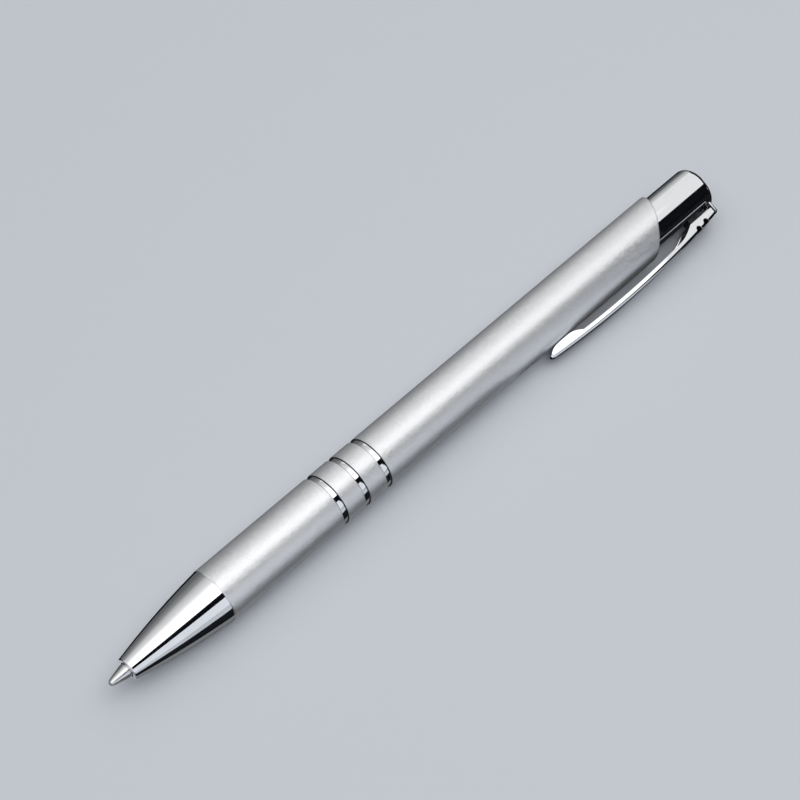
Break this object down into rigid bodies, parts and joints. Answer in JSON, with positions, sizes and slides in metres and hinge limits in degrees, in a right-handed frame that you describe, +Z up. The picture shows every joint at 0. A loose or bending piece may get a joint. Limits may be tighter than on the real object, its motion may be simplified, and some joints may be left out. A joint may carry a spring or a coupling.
{
  "type": "retractable ballpoint pen",
  "caption": "Pushbutton ballpoint pen with a satin metal barrel, ring trim, polished tapering nose, slotted push button and a bowed pocket clip that rocks on a bead.",
  "frame": {"origin": "on the pen's axis, halfway along the plain grip stretch of the barrel between its front chamfer and the first ring groove", "axes": "+X along the pen from the writing tip to the push button, +Z up from the table that the pen lies on, the clip on the -Y side"},
  "size_m": [0.1404, 0.0126, 0.01],
  "materials": {
    "satin_barrel": "satin silver, fine metallic grain",
    "polished_nose": "bright chrome plating",
    "polished_ring": "bright chrome plating",
    "polished_button": "bright chrome plating",
    "polished_clip": "bright chrome plating",
    "turned_brass": "plain turned brass",
    "dark_acetal": "moulded acetal",
    "white_acetal": "moulded acetal",
    "spring_steel": "drawn wire",
    "refill_steel": "plain drawn tube",
    "nickel_silver": "turned nickel silver",
    "ball_carbide": "ground carbide",
    "ink": "ink paste"
  },
  "bodies": {
    "barrel": {"barrel": "satin_barrel", "nose_cone": "polished_nose", "front_bush": "turned_brass", "trim_ring_front": "polished_ring", "trim_ring_middle": "polished_ring", "trim_ring_rear": "polished_ring", "carrier_tube": "dark_acetal", "lock_ring": "turned_brass", "cam_sleeve": "white_acetal", "return_spring": "spring_steel"},
    "button": {"push_button": "polished_button", "plunger": "dark_acetal"},
    "refill": {"rotor": "white_acetal", "refill_tube": "refill_steel", "tip_holder": "turned_brass", "writing_tip": "nickel_silver", "ink_column": "ink", "refill_plug": "dark_acetal"},
    "ball": {"tip_ball": "ball_carbide"},
    "clip": {"clip": "polished_clip"}
  },
  "joints": [
    {"name": "button_press", "type": "slide", "parent": "barrel", "child": "button", "axis": [1, 0, 0], "range_m": [-0.001, 0.0055]},
    {"name": "refill_slide", "type": "slide", "parent": "barrel", "child": "refill", "axis": [1, 0, 0], "range_m": [-0.001, 0.0055], "deforming": ["return_spring"]},
    {"name": "ball_roll", "type": "hinge", "parent": "refill", "child": "ball", "pos_m": [-0.03388, 0, 0], "axis": [0, 1, 0], "continuous": true},
    {"name": "clip_lift", "type": "hinge", "parent": "barrel", "child": "clip", "pos_m": [0.10162, -0.00289, -0.00125], "axis": [0, -0.3965, 0.918], "range_deg": [0, 2.5], "stiffness_Nm_per_rad": 0.5}
  ],
  "couplings": [
    {"joint": "refill_slide", "follows": "button_press", "ratio": 1}
  ]
}
